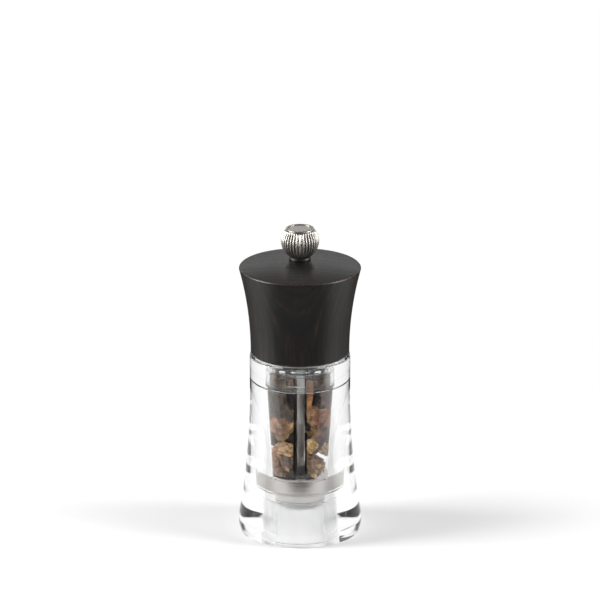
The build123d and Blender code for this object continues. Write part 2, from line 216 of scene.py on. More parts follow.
# %% One material and its nodes
class Finish:
    """A material built around one Principled shader; the constants are the shader's own plain values."""

    def __init__(self, name, **constants):
        self.material = bpy.data.materials.new(name)
        self.material.use_nodes = True
        self.nodes = self.material.node_tree.nodes
        self.links = self.material.node_tree.links
        self.shader = self.nodes["Principled BSDF"]
        for key, number in constants.items():
            self.shader.inputs[key.replace("_", " ")].default_value = number

    def node(self, kind, settings=None, sockets=None, output=0):
        """Add a node: settings first, then each socket's value or link."""
        node = self.nodes.new(kind)
        for key, setting in (settings or {}).items():
            setattr(node, key, setting)
        for key, value in (sockets or {}).items():
            if isinstance(value, Value):
                self.links.new(value.socket, node.inputs[key])
            else:
                node.inputs[key].default_value = value
        return Value(self, node.outputs[output])

    def sum(self, operation, *values):
        """A Math node on up to three values."""
        return self.node("ShaderNodeMath", {"operation": operation}, dict(enumerate(values)))

    def place(self, scale=(1, 1, 1)):
        """The object's own coordinates in metres, stretched by a scale."""
        at = self.node("ShaderNodeTexCoord", output="Object")
        if tuple(scale) == (1, 1, 1):
            return at
        return self.node("ShaderNodeMapping", sockets={"Vector": at, "Scale": scale})

    def axes(self):
        """The x, y and z of the object's own coordinates, in millimetres."""
        split = self.node("ShaderNodeSeparateXYZ", sockets={"Vector": self.place()})
        outputs = split.socket.node.outputs
        return [Value(self, outputs[index]) / MM for index in range(3)]

    def noise(self, scale, detail, roughness, stretch=(1, 1, 1), distortion=0.0, place=None):
        """A noise value from 0 to 1, read at the object's own place unless another is given."""
        return self.node(
            "ShaderNodeTexNoise", {"noise_dimensions": "3D"},
            {"Vector": place or self.place(stretch), "Scale": scale, "Detail": detail,
             "Roughness": roughness, "Distortion": distortion},
            output="Fac",
        )

    def between(self, value, low, high, least=0.0, most=1.0):
        """The least below low, the most above high, smooth between."""
        return self.node(
            "ShaderNodeMapRange", {"interpolation_type": "SMOOTHSTEP"},
            {"Value": value, "From Min": low, "From Max": high, "To Min": least, "To Max": most},
        )

    def blend(self, factor, first, second, mode="MIX"):
        """Mix two colours; the Mix node keeps its colour sockets at 6 and 7 and its colour result at 2."""
        first, second = (part if isinstance(part, Value) else (*part, 1) for part in (first, second))
        return self.node(
            "ShaderNodeMix", {"data_type": "RGBA", "blend_type": mode},
            {0: factor, 6: first, 7: second}, output=2,
        )

    def feed(self, socket, value):
        """Link a value to one of the shader's sockets."""
        self.links.new(value.socket, self.shader.inputs[socket])

    def bump(self, height, distance, strength=1.0):
        """Raise the surface by a height from 0 to 1 times a distance in millimetres."""
        normal = self.node(
            "ShaderNodeBump",
            sockets={"Strength": strength, "Distance": distance * MM, "Height": height},
        )
        self.feed("Normal", normal)


# %% [markdown]
# ## Camera
# The mill is seen from a little above, through a long lens far off, so its upright lines stay upright.

# %% Camera
camera_rise = math.radians(18)
camera_distance = 3.0
view_width = 0.2644
view_middle = Vector((0, 0, 0.1067))
back = Vector((0, -math.cos(camera_rise), math.sin(camera_rise)))

lens = bpy.data.cameras.new("camera")
lens.lens = lens.sensor_width * camera_distance / view_width
camera = bpy.data.objects.new("camera", lens)
camera.location = view_middle + back * camera_distance
camera.rotation_mode = "QUATERNION"
camera.rotation_quaternion = (-back).to_track_quat("-Z", "Y")
bpy.context.scene.collection.objects.link(camera)
bpy.context.scene.camera = camera
print(f"camera: {lens.lens:.0f} mm lens at {camera_distance} m")

# %% [markdown]
# ## Table, felt and card
# Clear plastic and metal show what stands round them. Near the mill the table is plain pale paint, which
# takes a true shadow. Farther out it glows an even white, but not for scattered rays, so it lights nothing.
# Two thin sheets lie just above it, unseen by the camera. Only mirrored rays meet the black felt ring, which
# keeps the dark wood from mirroring a white table. Mirrored and bent rays meet the card in front, dark near
# the mill and paler farther off, which gives the clear body darker lines.

# %% Stage pieces
def set_up(name, bm, material, hidden_from=()):
    """Make a stage piece of a bmesh, hidden from some kinds of ray."""
    mesh = bpy.data.meshes.new(name)
    bm.to_mesh(mesh)
    bm.free()
    mesh.materials.append(material)
    thing = bpy.data.objects.new(name, mesh)
    bpy.context.scene.collection.objects.link(thing)
    for ray in hidden_from:
        setattr(thing, f"visible_{ray}", False)


def sheet(width, depth):
    """A bmesh of one flat rectangle round the origin."""
    bm = bmesh.new()
    bmesh.ops.create_grid(bm, x_segments=1, y_segments=1, size=0.5)
    bmesh.ops.scale(bm, vec=(width, depth, 1), verts=bm.verts)
    return bm


def grey(level):
    """A colour with its three parts alike."""
    return (level, level, level)


# %% Table
TABLE_DROP, CARD_DROP, FELT_DROP = 0.0002, 0.00008, 0.00003
paint_end, glow_start = 60, 190

table = Finish("white_table", Roughness=0.7, Emission_Strength=1.0)
across, along, _ = table.axes()
far = table.between((across * across + along * along) ** 0.5, paint_end, glow_start)
unscattered = table.sum("LESS_THAN", table.node("ShaderNodeLightPath", output="Diffuse Depth"), 0.5)
glow = table.blend(far, grey(0.05), grey(1.0))
table.feed("Base Color", table.blend(far, grey(0.80), grey(0)))
table.feed("Emission Color", table.blend(unscattered, grey(0), glow))
bm = bmesh.new()
bmesh.ops.create_circle(bm, cap_ends=True, segments=96, radius=6.0)
bmesh.ops.translate(bm, vec=(0, 0, -TABLE_DROP), verts=bm.verts)
set_up("floor", bm, table.material)

# %% Felt and card
bm = bmesh.new()
for rim in (0.2, 1.6):
    bmesh.ops.create_circle(bm, segments=96, radius=rim)
bmesh.ops.bridge_loops(bm, edges=bm.edges)
bmesh.ops.translate(bm, vec=(0, 0, -FELT_DROP), verts=bm.verts)
black_felt = Finish("black_felt", Base_Color=(*grey(0.01), 1), Roughness=1.0)
all_but_mirrored = ("camera", "diffuse", "transmission", "shadow", "volume_scatter")
set_up("black_felt", bm, black_felt.material, all_but_mirrored)

card_depth, card_start = 0.67, 0.06
card = Finish("front_card", Roughness=1.0)
_, along, _ = card.axes()
card.feed("Base Color", card.blend(card.between(0 - along, 90, 200), grey(0.05), grey(0.75)))
bm = sheet(0.7, card_depth)
bmesh.ops.translate(bm, vec=(0, -card_start - card_depth / 2, -CARD_DROP), verts=bm.verts)
set_up("front_card", bm, card.material, ("camera", "diffuse", "shadow"))
print("table, felt ring and front card are laid")

# %% [markdown]
# ## Lamps and flags
# Two upright boxes draw the long bright lines down the knob and the wood. A wide lamp behind lights the clear
# body from its back, and one overhead softens the shadows. Four grey flags, met by mirrored and bent rays
# only, break the white into the strips that give the clear foot its shape. No lamp is seen through the clear
# body, because its mirror image inside the bore would lie over the filling like a veil.

# %% Lamps and flags
LAMP_AIM = Vector((0, 0, 0.07))


def around(azimuth, distance, height):
    """A point round the mill: azimuth 0 is in front of it, 90 on its right."""
    turn = math.radians(azimuth)
    return Vector((distance * math.sin(turn), -distance * math.cos(turn), height))


def lamp(name, place, width, height, watts):
    """A soft rectangular lamp that points at the mill."""
    light = bpy.data.lights.new(name, "AREA")
    light.shape = "RECTANGLE"
    light.size = width
    light.size_y = height
    light.energy = watts
    holder = bpy.data.objects.new(name, light)
    holder.location = place
    holder.rotation_mode = "QUATERNION"
    holder.rotation_quaternion = (LAMP_AIM - place).to_track_quat("-Z", "Y")
    holder.visible_transmission = False
    bpy.context.scene.collection.objects.link(holder)
    print(f"{name}: {watts} W")


def flag(name, place, width, height, shade):
    """An upright sheet beside the mill that only mirrored and bent rays meet."""
    bm = sheet(width, height)
    facing = (-place.xy.to_3d()).to_track_quat("-Z", "Y").to_matrix()
    bmesh.ops.rotate(bm, cent=(0, 0, 0), matrix=facing, verts=bm.verts)
    bmesh.ops.translate(bm, vec=place, verts=bm.verts)
    cloth = Finish(name, Base_Color=(*shade, 1), Roughness=1.0)
    set_up(name, bm, cloth.material, ("camera", "shadow", "diffuse"))


lamp("left_box", around(-82, 0.60, 0.30), 0.30, 0.55, 7.6)
lamp("right_box", around(78, 0.60, 0.30), 0.26, 0.55, 5.6)
lamp("back_sheet", around(180, 1.2, 0.56), 2.2, 0.35, 3.0)
lamp("ceiling", Vector((0, 0.45, 1.1)), 1.2, 0.7, 1.4)
flag("right_flag", around(114, 0.5, 0.085), 0.28, 0.17, grey(0.10))
flag("left_flag", around(-137, 0.5, 0.085), 0.25, 0.17, grey(0.10))
flag("back_flag_right", around(158, 0.5, 0.035), 0.22, 0.07, (0.30, 0.30, 0.31))
flag("back_flag_left", around(-170, 0.5, 0.035), 0.28, 0.07, (0.30, 0.30, 0.31))

# %% [markdown]
# ## The room
# Whatever looks straight out, or out through the clear body, meets a white backdrop. What is mirrored or
# scattered meets dim cloth, so the dark wood stays dark and the metal keeps its contrast. The filling stands
# inside plastic, and light on its way to it meets soft bright patches at the left, the right and the back,
# which shape the pieces better than an even light would.

# %% Room
class Room(Finish):
    """The world's nodes, made with the methods of a finish."""

    def __init__(self, name):
        world = bpy.data.worlds.new(name)
        world.use_nodes = True
        bpy.context.scene.world = world
        self.nodes = world.node_tree.nodes
        self.links = world.node_tree.links
        self.nodes.remove(self.nodes["Background"])

    def ray(self, fact):
        """What the Light Path node knows about the ray that arrives."""
        return self.node("ShaderNodeLightPath", output=fact)

    def light(self, strength):
        """White light of a strength."""
        return self.node("ShaderNodeBackground", sockets={"Color": (1, 1, 1, 1), "Strength": strength})

    def choose(self, factor, first, second):
        """Mix two lights."""
        return self.node("ShaderNodeMixShader", sockets={0: factor, 1: first, 2: second})

    def patch(self, toward, power):
        """Light that is brightest from one direction and dim elsewhere."""
        heading = self.node("ShaderNodeTexCoord", output="Generated")
        facing = self.node(
            "ShaderNodeVectorMath", {"operation": "DOT_PRODUCT"},
            {0: heading, 1: Vector(toward).normalized()}, output="Value",
        )
        return self.between(facing, 0.45, 1.0, 0.064, power)


room = Room("room")
unscattered = room.sum("LESS_THAN", room.ray("Diffuse Depth"), 0.5)
straight = room.sum("MAXIMUM", room.ray("Is Camera Ray"), room.ray("Is Transmission Ray")) * unscattered
from_filling = room.ray("Is Transmission Ray") - unscattered
left_patch = room.patch((-0.60, -0.55, 0.60), 3.36)
right_patch = room.patch((0.80, -0.25, 0.55), 1.92)
back_patch = room.patch((0, 0.9, 0.5), 1.28)
outside = room.choose(straight, room.light(0.09), room.light(1.0))
surrounding = room.choose(from_filling, outside, room.light(left_patch + right_patch + back_patch))
room.links.new(surrounding.socket, room.nodes["World Output"].inputs["Surface"])

bpy.context.scene.view_settings.view_transform = "Standard"
CLEAR_BOUNCES = 24
bpy.context.scene.cycles.max_bounces = CLEAR_BOUNCES
bpy.context.scene.cycles.transmission_bounces = CLEAR_BOUNCES
bpy.context.scene.cycles.transparent_max_bounces = CLEAR_BOUNCES
print(f"light may cross {CLEAR_BOUNCES} surfaces")

# %% [markdown]
# ## The clear body
# The body is moulded in clear acrylic, 16 mm thick in its foot. The outer side flares out to the foot, while
# the inside is a straight-sided funnel with steps for the grinder. The acrylic is a Principled shader with
# full transmission and the plastic's own index of refraction. Moulded acrylic is never optically flat, so a
# slow, shallow bump bends the reflections a little, and finger grease changes the roughness in patches. The
# mouth, where the ground spice falls out, is matt, and shows as a pale block.

# %% Acrylic
acrylic = Finish("clear_acrylic", Base_Color=(0.985, 0.99, 0.988, 1), IOR=1.49, Transmission_Weight=1.0)
smudge = acrylic.noise(90, 4, 0.6, (1, 1, 0.6), 0.6)
acrylic.feed("Roughness", acrylic.between(smudge, 0.55, 0.85) * 0.006)
flow = acrylic.noise(45, 2, 0.5, (1, 1, 0.35))
acrylic.bump(flow, 0.12, 0.14)

matt_acrylic = Finish(
    "matt_acrylic", Base_Color=(*grey(0.98), 1), Roughness=0.40, IOR=1.49, Transmission_Weight=1.0,
)
ground = matt_acrylic.noise(1500, 3, 0.6)
matt_acrylic.bump(ground, 0.02, 0.3)

insert_clear = Finish(
    "clear_insert_plastic", Base_Color=(0.96, 0.97, 0.97, 1), IOR=1.49, Transmission_Weight=1.0,
)
insert_mist = insert_clear.noise(260, 3, 0.6)
insert_clear.feed("Roughness", insert_clear.between(insert_mist, 0.3, 0.8) * 0.06 + 0.04)
insert_clear.bump(insert_mist, 0.02, 0.2)
print("finishes: clear acrylic, matt acrylic, clear insert plastic")

# %% Body
foot_radius = 26.2
crease = (26.95, 2.6)
widest = (base_radius, 6.2)
neck_radius = 22.2
flare_top = 66.0
mouth = 10.9
band_bore = 11.4
bridge_ledge = span("bottom_bridge")[2] - 0.85
housing_ledge = 19.8
seat_bore = 12.9
seat_top = 28.2
throat = (15.15, 69.0)
throat_lead = 0.25
neck_bore = 15.4

# %% [markdown]
# The body's outline is one closed loop: up the outer side, over the rim, and down through the bores. The
# side is an arc, upright at the neck, and the heel is a smaller arc, upright at the widest point.

# %% Turn the body
heel = list(reversed(flare(widest, crease, 8))) + [widest]
side = list(reversed(flare((neck_radius, flare_top), widest, 40))) + [(neck_radius, flare_top)]
bores = [
    (neck_radius, body_top), (neck_bore, body_top), (neck_bore, throat[1] + throat_lead), throat,
    (seat_bore, seat_top), (seat_bore, housing_ledge), (band_bore, housing_ledge),
    (band_bore, bridge_ledge), (mouth, bridge_ledge), (mouth, 0), (foot_radius, 0),
]
body_outline = heel[:-1] + side + bores
bm = turned(body_outline, rounding=0.35, steps=256)
matt_faces = 0
for face in bm.faces:
    radius, height, _ = polar(face.calc_center_median())
    if radius < mouth + 0.2 and height < bridge_ledge - 1:
        face.material_index = 1
        matt_faces += 1
body = hand_over(
    "clear_body_moulding", bm, "mill_body", "clear_acrylic", acrylic.material, ["clear_body"], crisp=50,
)
body.data.materials.append(matt_acrylic.material)
print(f"{matt_faces} matt faces; wall {base_radius - mouth:.1f} mm thick at the foot")

# %% [markdown]
# ## Steel finishes
# Turned steel keeps the marks of the tool that cut it: fine rings at one radius and one height. A noise read
# from radius and height, with no angle in it, gives just those rings. One helper serves every turned piece.

# %% Turned metal
def turned_metal(name, shade, rough, fineness, depth, marks=0.12):
    """A metal whose gloss and height change in fine rings round Z."""
    metal = Finish(name, Base_Color=(*shade, 1), Metallic=1.0, Roughness=rough)
    x, y, z = metal.axes()
    radius = (x * x + y * y) ** 0.5
    ring_place = metal.node("ShaderNodeCombineXYZ", sockets={0: radius, 1: z})
    rings = metal.noise(fineness, 2, 0.6, place=ring_place)
    clouds = metal.noise(180, 3, 0.6)
    gloss = (rings - 0.5) * marks + (clouds - 0.5) * 0.10 + rough
    metal.feed("Roughness", gloss.clamped())
    dark = tuple(part * 0.72 for part in shade)
    stain = metal.between(clouds, 0.62, 0.80)
    metal.feed("Base Color", metal.blend(stain * 0.6, shade, dark))
    metal.bump(rings, depth, 0.35)
    return metal


stainless = turned_metal("stainless_steel", (0.66, 0.65, 0.63), 0.24, 5.0, 0.02)
dark_steel = turned_metal("dark_steel", (0.16, 0.155, 0.15), 0.34, 7.0, 0.02)
spring_steel = turned_metal("spring_steel", (0.42, 0.41, 0.39), 0.25, 9.0, 0.01)
brass = turned_metal("brass", (0.72, 0.50, 0.22), 0.28, 8.0, 0.01)
# Painted shade: brass darkened nearly to black, for the ferrule that sits in the shade under the knob.
brass_in_painted_shade = turned_metal("brass_in_painted_shade", (0.075, 0.055, 0.035), 0.5, 8.0, 0.01)
print("finishes: stainless, dark and spring steel, brass, aged brass")

# %% [markdown]
# ## Grinder housing
# The housing is pressed from stainless sheet in two steps: a wide flange that sits on the body's ledge, and a
# narrower band that goes down inside. Through the clear wall these two steps are the bright bands low in the
# mill. A rolled bead stiffens the flange's lower edge. The flange and the ring over it are a press fit, so
# they reach a hair into the plastic: with no air between, the wall shows the steel enlarged.

# %% Housing and retaining ring
press_fit = 0.02
_, housing_foot, housing_top = span("grinder_housing")
housing_radius = seat_bore + press_fit
housing_bore = 9.6
band = band_bore - 0.05
flange_foot = housing_ledge + 0.05
bead_top = flange_foot + 0.7
groove_floor = housing_radius - 0.25
housing_outline = [
    (housing_bore, housing_foot), (band, housing_foot), (band, flange_foot), (housing_radius, flange_foot),
    (housing_radius, bead_top), (groove_floor, bead_top + 0.15), (groove_floor, bead_top + 0.3),
    (housing_radius, bead_top + 0.45), (housing_radius, housing_top), (housing_bore, housing_top),
]
bm = turned(housing_outline, rounding=0.12)
pressed = turned_metal("pressed_steel", (0.52, 0.50, 0.48), 0.16, 5.0, 0.03, marks=0.2)
hand_over("grinder_housing_shell", bm, "mill_body", "stainless_steel", pressed.material, ["grinder_housing"])

# %% Retaining ring
_, ring_foot, ring_top = span("retaining_ring")
ring_radius = seat_bore + press_fit
ring_bore = 11.2


def notch(bm, count, wide, outer, deep):
    """Push the outer wall in at evenly spaced places round the ring."""
    for vertex in bm.verts:
        radius, _, turn = polar(vertex.co)
        past = turn % (math.tau / count)
        across = min(past, math.tau / count - past) * radius
        if radius > outer - 0.3 and across < wide / 2:
            vertex.co.xy *= (radius - deep) / radius


bm = turned(plain_ring(ring_bore, ring_radius, ring_foot, ring_top), 0.1)
notch(bm, count=8, wide=1.2, outer=ring_radius, deep=0.5)
hand_over("retaining_ring_pressed", bm, "mill_body", "stainless_steel", pressed.material, ["retaining_ring"])

# %% [markdown]
# ## Grinding ring and cone
# The spice is cracked between leaning ridges high in the grinder and milled between fine teeth low down. Both
# are ridges on a cone that lean as they go down, so a spin makes the cone and a wave round it, shifted with
# height, makes the teeth. The wave's depth fades to nothing at the plain ends.

# %% Teeth on a cone
TOOTH_FADE = 0.6


def tooth(bm, count, lean, depth, foot, top, reach):
    """Wave the wall of a cone in and out; the waves lean by an angle per millimetre of height."""
    for vertex in bm.verts:
        radius, height, turn = polar(vertex.co)
        if not foot < height < top or not reach[0] < radius < reach[1]:
            continue
        wave = abs(math.sin(count * (turn + lean * (height - foot)) / 2)) ** 0.8
        share = min(1.0, (height - foot) / TOOTH_FADE, (top - height) / TOOTH_FADE)
        vertex.co.xy *= (radius - depth * (1 - wave) * share) / radius


def rows(start, end, count):
    """Evenly spaced outline points after start, up to and including end."""
    return [tuple(a + (b - a) * step / count for a, b in zip(start, end)) for step in range(1, count + 1)]


# %% Grinding ring and cone
stator_radius, stator_foot, stator_top = span("stator_ring")
rotor_radius, rotor_foot, rotor_top = span("rotor_burr")
waist = stator_foot + 3.0
dark_slots = {"slot": "dark_steel", "material": dark_steel.material, "crisp": 40}
stator_outline = (
    [(8.75, stator_foot), (stator_radius, stator_foot), (stator_radius, stator_top), (8.9, stator_top)]
    + rows((8.9, stator_top), (7.95, waist), 10) + rows((7.95, waist), (8.75, stator_foot), 5)[:-1]
)
bm = turned(stator_outline, steps=288)
tooth(bm, 18, 0.06, -0.55, waist - 2.9, stator_top - 0.05, (7, 9.3))
hand_over("stator_ring_toothed", bm, "mill_body", stands_for=["stator_ring"], **dark_slots)

rotor_outline = (
    [(1.95, rotor_foot), (rotor_radius, rotor_foot), (rotor_radius, rotor_foot + 0.4)]
    + rows((rotor_radius, rotor_foot + 0.4), (7.1, rotor_foot + 3.0), 6)
    + rows((7.1, rotor_foot + 3.0), (4.5, rotor_top - 0.5), 12)
    + [(4.0, rotor_top), (2.55, rotor_top), (2.55, rotor_top - 6), (1.95, rotor_top - 7)]
)
bm = turned(rotor_outline, steps=288)
tooth(bm, 9, -0.10, 1.3, rotor_foot + 2.6, rotor_top - 0.4, (4.2, 7.5))
tooth(bm, 48, -0.05, 0.35, rotor_foot + 0.3, rotor_foot + 3.2, (6.5, 8.2))
hand_over("rotor_burr_toothed", bm, "shaft", stands_for=["rotor_burr"], **dark_slots)

# %% [markdown]
# ## Bottom bridge
# The bridge hangs under the housing like a shallow dish with a window each side, where the ground spice
# falls through. The plain solid is right in shape already, so it keeps its own mesh and takes a moulded grey
# plastic; a fine noise in the bump is the texture that eroded moulds leave. The other small inner pieces keep
# their plain solids too.

# %% Moulded plastics
def moulded_plastic(name, shade, rough, grain=0.02):
    """An opaque moulded plastic with a fine eroded texture."""
    plastic = Finish(name, Base_Color=(*shade, 1), Roughness=rough)
    fine = plastic.noise(2600, 2, 0.5)
    broad = plastic.noise(150, 3, 0.6)
    plastic.feed("Roughness", ((broad - 0.5) * 0.12 + rough).clamped())
    faded = tuple(min(1.0, part * 1.12) for part in shade)
    plastic.feed("Base Color", plastic.blend(plastic.between(broad, 0.4, 0.7), shade, faded))
    plastic.bump(fine, grain, 0.4)
    return plastic


grey_plastic = moulded_plastic("grey_plastic", (0.40, 0.41, 0.41), 0.38)
black_plastic = moulded_plastic("black_plastic", grey(0.008), 0.42)
white_plastic = moulded_plastic("white_plastic", (0.72, 0.72, 0.70), 0.42)
small_pieces = {
    "bottom_bridge": grey_plastic, "thrust_bush": brass, "thrust_washer": stainless,
    "spring_seat": stainless, "grind_spring": spring_steel, "tail_clip": spring_steel,
    "rotor_pin": stainless, "drive_plate": stainless, "top_ferrule": brass_in_painted_shade,
    "knob_core": brass, "lock_ring": white_plastic,
}
for node, finish in small_pieces.items():
    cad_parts[node].data.materials.clear()
    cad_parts[node].data.materials.append(finish.material)
print(f"{len(small_pieces)} plain solids have their finish")

# %% [markdown]
# ## Square shaft
# The shaft is drawn steel: a square bar with rounded edges, turned round at both ends. A cube is stretched to
# the square's length and bevelled; the round tail and stud are spun and joined to it. Drawing leaves long
# faint lines, so the finish's noise is stretched along Z.

# %% Shaft
drawn_steel = Finish("drawn_steel", Base_Color=(0.95, 0.94, 0.92, 1), Metallic=1.0, Roughness=0.2)
lines = drawn_steel.noise(1, 3, 0.6, (2600, 2600, 30))
drawn_steel.feed("Roughness", ((lines - 0.5) * 0.2 + 0.30).clamped())
drawn_steel.bump(lines, 0.01, 0.35)

shaft_side = 3.8
shaft_turn = math.radians(12)
shaft_radius = 1.85
_, tail_foot, stud_top = span("square_shaft")
square_foot = rotor_top - 7.0
square_top = head_apex - 4.6
_, clip_foot, clip_top = span("tail_clip")
overlap = 0.1


def rise_of(edge):
    """How far an edge climbs."""
    return abs(edge.verts[0].co.z - edge.verts[1].co.z)


bm = bmesh.new()
bmesh.ops.create_cube(bm, size=1)
bmesh.ops.scale(bm, vec=(shaft_side * MM, shaft_side * MM, (square_top - square_foot) * MM), verts=bm.verts)
upright = [edge for edge in bm.edges if rise_of(edge) > 1e-6]
bmesh.ops.bevel(bm, geom=upright, offset=0.35 * MM, segments=3, profile=0.5, affect="EDGES", material=-1)
ends = [edge for edge in bm.edges
        if rise_of(edge) < 1e-9 and len(edge.link_faces) == 2 and edge.calc_face_angle() > 1]
bmesh.ops.bevel(bm, geom=ends, offset=0.15 * MM, segments=2, profile=0.5, affect="EDGES", material=-1)
bmesh.ops.rotate(bm, cent=(0, 0, 0), matrix=Matrix.Rotation(shaft_turn, 3, "Z"), verts=bm.verts)
bmesh.ops.translate(bm, vec=(0, 0, (square_top + square_foot) / 2 * MM), verts=bm.verts)
clip_groove = shaft_radius - 0.3
tail_outline = [
    (0, tail_foot), (shaft_radius, tail_foot), (shaft_radius, clip_foot), (clip_groove, clip_foot),
    (clip_groove, clip_top), (shaft_radius, clip_top), (shaft_radius, square_foot + overlap),
    (0, square_foot + overlap),
]
merge(bm, turned(tail_outline, rounding=0.06, steps=64))
merge(bm, turned(plain_ring(0, shaft_radius, square_top - overlap, stud_top), rounding=0.3, steps=64))
hand_over("square_shaft_drawn", bm, "shaft", "shaft_steel", drawn_steel.material, ["square_shaft"], crisp=40)

# %% [markdown]
# ## Drive insert
# The head drives the shaft through a clear insert: a skirt that turns in the body's neck, with windows so
# that it flexes, a web, a boss round the shaft, and three pillars for the screws. The skirt and web are one
# spin. Each window is made by deleting the same faces on both sides of the wall and bridging the two holes,
# which gives a clean opening with its own side walls.

# %% Cut windows through a wall
def windows(bm, count, first, wide, foot, top, radius):
    """Open windows through a spun wall: delete faces on both sides, then bridge their edges."""
    step = math.tau / count
    doomed = []
    for face in bm.faces:
        reach, height, turn = polar(face.calc_center_median())
        off_centre = (turn - first + step / 2) % step - step / 2
        in_skirt = abs(face.normal.z) < 0.5 and reach > radius - 2
        if in_skirt and foot < height < top and abs(off_centre) * radius < wide / 2:
            doomed.append(face)
    bmesh.ops.delete(bm, geom=doomed, context="FACES")
    for index in range(count):
        rim = []
        for edge in bm.edges:
            turn = polar((edge.verts[0].co + edge.verts[1].co) / 2)[2] - first - index * step
            if edge.is_boundary and abs((turn + math.pi) % math.tau - math.pi) < step / 2:
                rim.append(edge)
        bmesh.ops.bridge_loops(bm, edges=rim)
    bmesh.ops.recalc_face_normals(bm, faces=bm.faces)
    return len(doomed)


# %% Insert
_, insert_foot, insert_top = span("drive_insert")
insert_radius = 15.1
insert_inner = 13.8
web_foot = insert_top - 9.25
web_top = web_foot + 1.6
boss = 3.6
boss_bore = 2.8
boss_foot = web_foot - 4.6
window_foot = insert_foot + 2.2
window_top = window_foot + 4.2
skirt_outline = (
    [(insert_inner, insert_foot), (insert_radius, insert_foot), (insert_radius, insert_foot + 0.3),
     (insert_radius + 0.25, insert_foot + 0.5), (insert_radius + 0.25, insert_foot + 1.1),
     (insert_radius, insert_foot + 1.3), (insert_radius, window_foot)]
    + rows((insert_radius, window_foot), (insert_radius, window_top), 6)
    + [(insert_radius, insert_top), (insert_inner, insert_top), (insert_inner, web_top + 0.1),
       (7.2, web_top + 0.1), (7.2, web_top + 1.2), (6.2, web_top + 1.2), (6.2, web_top), (boss_bore, web_top),
       (boss_bore, boss_foot), (boss, boss_foot), (boss, web_foot), (insert_inner, web_foot)]
    + [(insert_inner, window_top)] + rows((insert_inner, window_top), (insert_inner, window_foot), 6)
)
bm = turned(skirt_outline, rounding=0.12, steps=240)
cut = windows(bm, 4, math.radians(84), 7.8, window_foot, window_top, insert_radius)
pillar_places = []
for angle in (90, 210, 330):
    pillar_places.append(Matrix.Rotation(math.radians(angle), 3, "Z") @ Vector((9.6 * MM, 0, 0)))
for place in pillar_places:
    pillar = turned(plain_ring(1.15, 2.1, web_top - 0.2, insert_top), 0.15, 40)
    bmesh.ops.translate(pillar, vec=place, verts=pillar.verts)
    merge(bm, pillar)
hand_over("drive_insert_clear", bm, "head", "clear_insert", insert_clear.material, ["drive_insert"])
print(f"insert: {cut} faces cut for its windows")

# %% [markdown]
# ## Screws
# Three pan-head screws come up through the pillars into the wood. Only their heads can be seen, so the
# driver's recess is kept simple: the head's flat face is inset, and its middle pushed in.

# %% Screws
_, head_low, shank_top = span("insert_screws")
screws = bmesh.new()
for place in pillar_places:
    screw = turned(
        [(0, head_low), (1.3, head_low), (1.65, head_low + 0.2), (1.8, head_low + 0.6), (1.8, head_low + 1.1),
         (1.0, head_low + 1.1), (1.0, shank_top - 1), (0, shank_top)], 0.05, 32,
    )
    flat = [face for face in screw.faces
            if face.normal.z < -0.99 and face.calc_center_median().z / MM < head_low + 0.01]
    bmesh.ops.inset_region(screw, faces=flat, thickness=0.5 * MM, use_even_offset=True)
    pushed = list({vertex for face in flat for vertex in face.verts})
    bmesh.ops.translate(screw, vec=(0, 0, 0.35 * MM), verts=pushed)
    bmesh.ops.translate(screw, vec=place, verts=screw.verts)
    merge(screws, screw)
hand_over("insert_screws_pan_head", screws, "head", "stainless_steel", stainless.material, ["insert_screws"])

# %% [markdown]
# ## Wooden head
# The head is turned from close-grained wood and stained nearly black. Stain hides colour but not grain: the
# growth rings still show as slightly lighter and glossier bands, and pores as short dark ticks along the
# grain. The head is cut from a plank whose tree centre is far behind it, so the rings run across the top as
# lines and down the side as streaks. The lacquer wears first on the sharp upper edge, and the light band
# there is also a painted highlight along that rounded edge.

# %% Stained wood
wood = Finish("stained_wood", Base_Color=(0.012, 0.010, 0.009, 1), Roughness=0.46)
x, y, z = wood.axes()
wander = wood.noise(60, 3, 0.5, (1, 1, 0.2))
pith_x, pith_y = 8, 95
from_pith = ((x - pith_x) * (x - pith_x) + (y - pith_y) * (y - pith_y)) ** 0.5 + wander * 2.4
rings = wood.node(
    "ShaderNodeTexNoise", {"noise_dimensions": "1D"},
    {"W": from_pith, "Scale": 0.9, "Detail": 3.0}, output="Fac",
)
fibre = wood.noise(1, 4, 0.65, (900, 900, 22))
pores = wood.noise(1, 1, 0.5, (2400, 2400, 120))
pore = wood.between(pores, 0.66, 0.78)
band_light = wood.between(rings, 0.42, 0.68)
streak = wood.between(fibre, 0.52, 0.75)
near_black = (0.0022, 0.0018, 0.0016)
warm_black = (0.0130, 0.0088, 0.0065)
brown = (0.0700, 0.0360, 0.0190)
bare_wood_and_highlight = (0.14, 0.085, 0.05)
stain = wood.blend(band_light * 0.75, near_black, warm_black)
stain = wood.blend(streak * band_light * 0.55, stain, brown)
stain = wood.blend(pore * 0.8, stain, grey(0.002))

# %% Worn upper edge with a painted highlight
edge_height, edge_width = head_apex - 3.35, 0.55
near_rim = wood.between((x * x + y * y) ** 0.5, head_radius - 0.9, head_radius - 0.3)
edge_band = (1 - abs(z - edge_height) / edge_width).clamped() * near_rim
chips = wood.between(wood.noise(900, 3, 0.7), 0.50, 0.66)
# Painted highlight: the light band along the upper edge is partly worn lacquer and partly a highlight painted
# into the colour.
worn_with_highlight = edge_band * (chips * 0.8 + 0.2)
wood.feed("Base Color", wood.blend(worn_with_highlight * 0.8, stain, bare_wood_and_highlight))
wood.feed("Roughness", (0.41 + (fibre - 0.5) * 0.25 - band_light * 0.05 + pore * 0.2).clamped())
wood.bump(fibre * 0.7 - pore * 0.6 + rings * 0.3, 0.05, 0.4)
print("finish: stained wood with a worn edge")

# %% Head
head_bottom = 21.8
heel_cut = 0.9
dome_rise = 3.1
edge_cut = 0.6
recess = 15.15
recess_top = insert_top + 0.05
bore = 3.4
counterbore = 4.65
ferrule_seat = span("top_ferrule")[1] - 0.05


